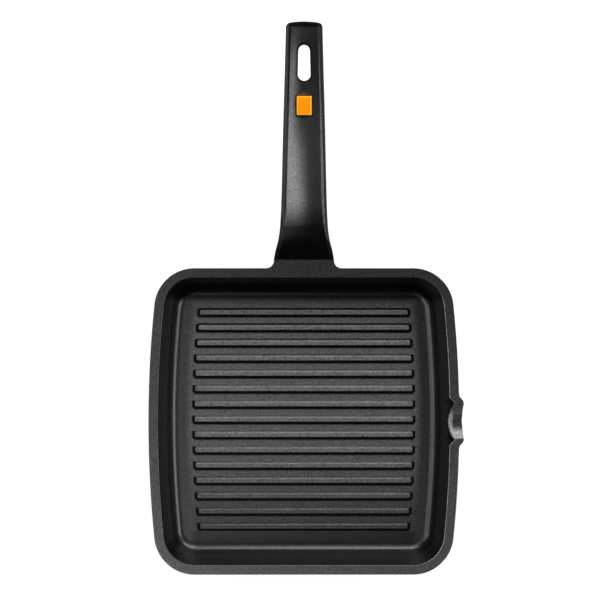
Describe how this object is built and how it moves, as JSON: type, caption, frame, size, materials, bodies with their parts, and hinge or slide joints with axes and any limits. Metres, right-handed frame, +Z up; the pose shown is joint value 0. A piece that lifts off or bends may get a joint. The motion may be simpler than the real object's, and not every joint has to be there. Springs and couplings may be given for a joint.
{
  "type": "grill pan",
  "caption": "Square die-cast grill pan with bowed sides, parallel ribs, one pouring spout and a fixed moulded handle with a hanging slot.",
  "frame": {"origin": "centre of the base's underside, on the steel plate's flat face, where the pan stands on the hob", "axes": "+Z up, +Y from the pan's centre towards the handle, +X towards the pouring spout"},
  "size_m": [0.284, 0.4925, 0.0959],
  "materials": {
    "pan_coating": "cast aluminium under a fine speckled charcoal non-stick coating",
    "base_steel": "brushed ferritic steel",
    "handle_phenolic": "satin black phenolic moulding",
    "inlay_orange": "smooth satin orange",
    "screw_steel": "plain zinc-plated steel"
  },
  "bodies": {
    "root": {"pan_body": "pan_coating", "induction_plate": "base_steel", "handle": "handle_phenolic", "handle_inlay": "inlay_orange", "fixing_screw": "screw_steel", "lock_washer": "screw_steel"}
  },
  "joints": []
}
